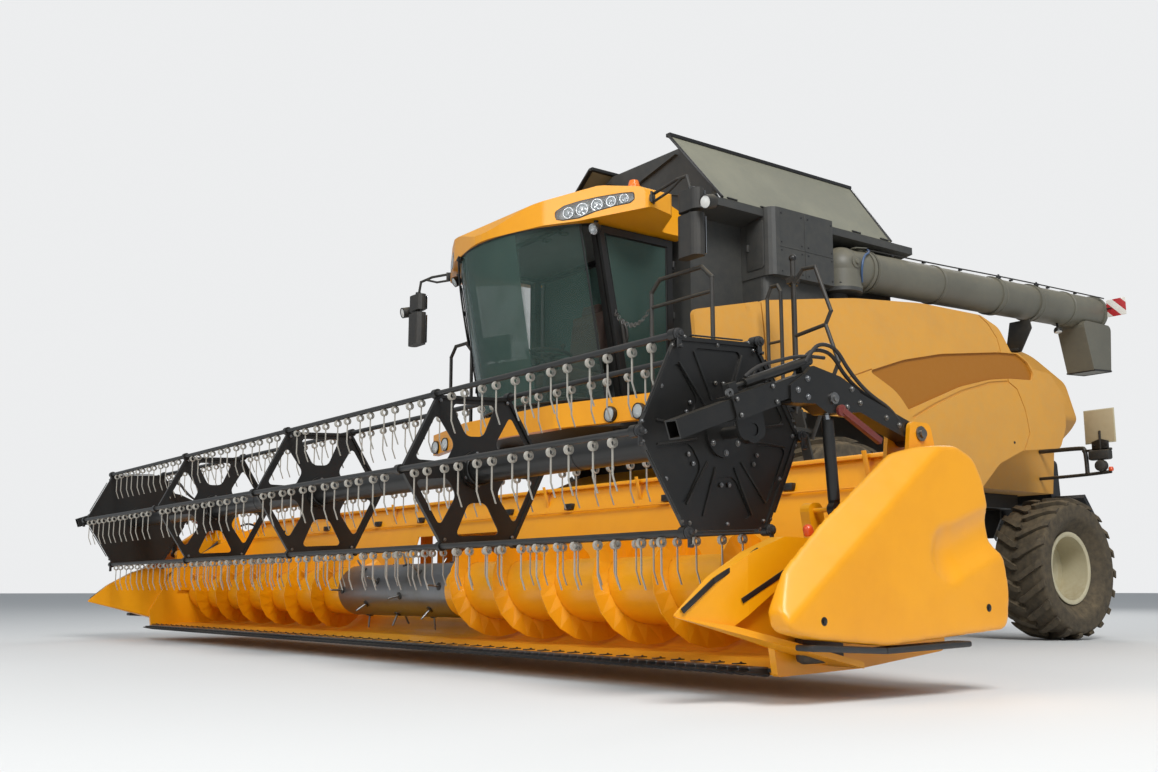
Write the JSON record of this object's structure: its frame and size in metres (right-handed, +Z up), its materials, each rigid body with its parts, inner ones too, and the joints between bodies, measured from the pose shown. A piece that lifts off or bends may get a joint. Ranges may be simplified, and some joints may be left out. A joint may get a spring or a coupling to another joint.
{
  "type": "combine harvester",
  "caption": "Combine harvester with a wide grain header, tined reel, cab, open-topped grain tank, side panels, swinging unloading tube and steered rear wheels.",
  "frame": {"origin": "on the ground under the middle of the overall bounding box", "axes": "+X forward, towards the header; +Y to the left of the machine; +Z up. The front axle stands 0.2 m ahead of the origin and Z = 0 is the ground"},
  "size_m": [9.8292, 9.94, 4.531],
  "materials": {
    "yellow_paint": "satin",
    "dusty_yellow_paint": "matt",
    "dark_grey_paint": "satin",
    "black_paint": "satin",
    "black_tube": "satin",
    "cream_paint": "worn satin",
    "khaki_sheet": "matt",
    "grey_tube": "satin",
    "steel": "worn",
    "dark_steel": "dull",
    "chrome_rod": "polished",
    "iron": "painted",
    "black_plastic": "grained",
    "lamp_plastic": "clear",
    "amber_plastic": "tinted",
    "tyre_rubber": "dusty",
    "tinted_glass": "tinted",
    "seat_cloth": "woven"
  },
  "bodies": {
    "chassis": {"chassis_frame": "black_tube", "rear_axle": "iron", "separator_body": "dark_grey_paint", "engine": "iron", "engine_hood": "dark_grey_paint", "rear_hood": "dark_grey_paint", "chopper": "black_paint", "lamp_arms": "cream_paint", "grain_tank": "dark_grey_paint", "tank_cover_left": "khaki_sheet", "tank_cover_right": "khaki_sheet", "tank_cover_ends": "dark_grey_paint", "side_box": "dark_grey_paint", "cab_base": "yellow_paint", "cab_frame": "black_paint", "cab_roof": "yellow_paint", "cab_glass": "tinted_glass", "seat": "seat_cloth", "platform": "black_tube", "bumper": "yellow_paint", "lamps": "lamp_plastic", "beacons": "amber_plastic", "mirrors": "black_plastic", "side_fairings": "dusty_yellow_paint"},
    "front_wheel_left": {"front_tyre_left": "tyre_rubber", "front_rim_left": "cream_paint"},
    "front_wheel_right": {"front_tyre_right": "tyre_rubber", "front_rim_right": "cream_paint"},
    "steering_left": {"knuckle_left": "iron"},
    "steering_right": {"knuckle_right": "iron"},
    "rear_wheel_left": {"rear_tyre_left": "tyre_rubber", "rear_rim_left": "cream_paint"},
    "rear_wheel_right": {"rear_tyre_right": "tyre_rubber", "rear_rim_right": "cream_paint"},
    "door": {"cab_door": "black_paint", "door_glass": "tinted_glass"},
    "boarding_ladder": {"ladder": "black_tube"},
    "panel_left": {"side_panel_left": "dusty_yellow_paint"},
    "panel_right": {"side_panel_right": "dusty_yellow_paint"},
    "unloader": {"unloading_auger": "grey_tube"},
    "header": {"feeder_house": "yellow_paint", "header_frame": "yellow_paint", "dividers": "yellow_paint", "shields": "yellow_paint", "guards": "dark_steel"},
    "lift_barrels": {"feeder_barrels": "black_paint"},
    "lift_rods": {"feeder_rods": "chrome_rod"},
    "cutter": {"knife": "steel"},
    "auger": {"header_auger": "yellow_paint"},
    "arms": {"reel_arms": "black_paint"},
    "arm_barrels": {"reel_barrels": "black_paint"},
    "arm_rods": {"reel_rods": "chrome_rod"},
    "carriage": {"reel_carriage": "black_paint"},
    "reel_rotor": {"reel": "black_paint"},
    "tines_1": {"tine_bar_1": "dark_steel"},
    "tines_2": {"tine_bar_2": "dark_steel"},
    "tines_3": {"tine_bar_3": "dark_steel"},
    "tines_4": {"tine_bar_4": "dark_steel"},
    "tines_5": {"tine_bar_5": "dark_steel"},
    "tines_6": {"tine_bar_6": "dark_steel"}
  },
  "joints": [
    {"name": "front_wheel_left_spin", "type": "hinge", "parent": "chassis", "child": "front_wheel_left", "pos_m": [0.2, 1.35, 0.935], "axis": [0, 1, 0], "continuous": true},
    {"name": "front_wheel_right_spin", "type": "hinge", "parent": "chassis", "child": "front_wheel_right", "pos_m": [0.2, -1.35, 0.935], "axis": [0, 1, 0], "continuous": true},
    {"name": "steer_left", "type": "hinge", "parent": "chassis", "child": "steering_left", "pos_m": [-3.57, 0.88, 0.75], "axis": [0, 0, 1], "range_deg": [-30, 30]},
    {"name": "steer_right", "type": "hinge", "parent": "chassis", "child": "steering_right", "pos_m": [-3.57, -0.88, 0.75], "axis": [0, 0, 1], "range_deg": [-30, 30]},
    {"name": "rear_wheel_left_spin", "type": "hinge", "parent": "steering_left", "child": "rear_wheel_left", "pos_m": [-3.57, 1.32, 0.75], "axis": [0, 1, 0], "continuous": true},
    {"name": "rear_wheel_right_spin", "type": "hinge", "parent": "steering_right", "child": "rear_wheel_right", "pos_m": [-3.57, -1.32, 0.75], "axis": [0, 1, 0], "continuous": true},
    {"name": "door_swing", "type": "hinge", "parent": "chassis", "child": "door", "pos_m": [1.602, 1.052, 2.8], "axis": [0, 0, 1], "range_deg": [0, 55]},
    {"name": "ladder_swing", "type": "hinge", "parent": "chassis", "child": "boarding_ladder", "pos_m": [1.16, 2.04, 2.4], "axis": [0, 0, 1], "range_deg": [0, 90]},
    {"name": "panel_left_lift", "type": "hinge", "parent": "chassis", "child": "panel_left", "pos_m": [-0.4, 1.45, 3.17], "axis": [1, 0, 0], "range_deg": [0, 80]},
    {"name": "panel_right_lift", "type": "hinge", "parent": "chassis", "child": "panel_right", "pos_m": [-0.4, -1.45, 3.17], "axis": [-1, 0, 0], "range_deg": [0, 80]},
    {"name": "unloader_swing", "type": "hinge", "parent": "chassis", "child": "unloader", "pos_m": [-0.22, 1.37, 3.31], "axis": [0, 0, -1], "range_deg": [0, 105]},
    {"name": "header_lift", "type": "hinge", "parent": "chassis", "child": "header", "pos_m": [1.15, 0, 1.5], "axis": [0, -1, 0], "range_deg": [-2, 18]},
    {"name": "lift_barrels_swing", "type": "hinge", "parent": "chassis", "child": "lift_barrels", "pos_m": [0.45, 0, 0.62], "axis": [0, -1, 0], "range_deg": [-1.2, 10.3]},
    {"name": "lift_rods_slide", "type": "slide", "parent": "lift_barrels", "child": "lift_rods", "axis": [0.9978, 0, -0.0665], "range_m": [-0.032, 0.276]},
    {"name": "knife_stroke", "type": "slide", "parent": "header", "child": "cutter", "axis": [0, 1, 0], "range_m": [-0.038, 0.038]},
    {"name": "auger_spin", "type": "hinge", "parent": "header", "child": "auger", "pos_m": [3.55, 0, 0.52], "axis": [0, 1, 0], "continuous": true},
    {"name": "reel_lift", "type": "hinge", "parent": "header", "child": "arms", "pos_m": [3.27, 0, 1.32], "axis": [0, -1, 0], "range_deg": [-1, 28]},
    {"name": "arm_barrels_swing", "type": "hinge", "parent": "header", "child": "arm_barrels", "pos_m": [3.86, 0, 0.91], "axis": [0, -1, 0], "range_deg": [-0.4, 10.7]},
    {"name": "arm_rods_slide", "type": "slide", "parent": "arm_barrels", "child": "arm_rods", "axis": [0.0739, 0, 0.9973], "range_m": [-0.0104, 0.289]},
    {"name": "reel_reach", "type": "slide", "parent": "arms", "child": "carriage", "axis": [0.9422, 0, -0.335], "range_m": [-0.04, 0.25]},
    {"name": "reel_spin", "type": "hinge", "parent": "carriage", "child": "reel_rotor", "pos_m": [4.36, 0, 1.27], "axis": [0, 1, 0], "continuous": true},
    {"name": "tines_1_spin", "type": "hinge", "parent": "reel_rotor", "child": "tines_1", "pos_m": [4.65683, 0, 1.72707], "axis": [0, 1, 0], "continuous": true},
    {"name": "tines_2_spin", "type": "hinge", "parent": "reel_rotor", "child": "tines_2", "pos_m": [4.11257, 0, 1.7556], "axis": [0, 1, 0], "continuous": true},
    {"name": "tines_3_spin", "type": "hinge", "parent": "reel_rotor", "child": "tines_3", "pos_m": [3.81575, 0, 1.29852], "axis": [0, 1, 0], "continuous": true},
    {"name": "tines_4_spin", "type": "hinge", "parent": "reel_rotor", "child": "tines_4", "pos_m": [4.06317, 0, 0.81293], "axis": [0, 1, 0], "continuous": true},
    {"name": "tines_5_spin", "type": "hinge", "parent": "reel_rotor", "child": "tines_5", "pos_m": [4.60743, 0, 0.7844], "axis": [0, 1, 0], "continuous": true},
    {"name": "tines_6_spin", "type": "hinge", "parent": "reel_rotor", "child": "tines_6", "pos_m": [4.90425, 0, 1.24148], "axis": [0, 1, 0], "continuous": true}
  ],
  "couplings": [
    {"joint": "steer_right", "follows": "steer_left", "ratio": 1},
    {"joint": "lift_barrels_swing", "follows": "header_lift", "ratio": 0.5645},
    {"joint": "lift_rods_slide", "follows": "header_lift", "m_per_rad": 0.8741},
    {"joint": "arm_barrels_swing", "follows": "reel_lift", "ratio": 0.3785},
    {"joint": "arm_rods_slide", "follows": "reel_lift", "m_per_rad": 0.5892},
    {"joint": "tines_1_spin", "follows": "reel_spin", "ratio": -1},
    {"joint": "tines_2_spin", "follows": "reel_spin", "ratio": -1},
    {"joint": "tines_3_spin", "follows": "reel_spin", "ratio": -1},
    {"joint": "tines_4_spin", "follows": "reel_spin", "ratio": -1},
    {"joint": "tines_5_spin", "follows": "reel_spin", "ratio": -1},
    {"joint": "tines_6_spin", "follows": "reel_spin", "ratio": -1}
  ]
}
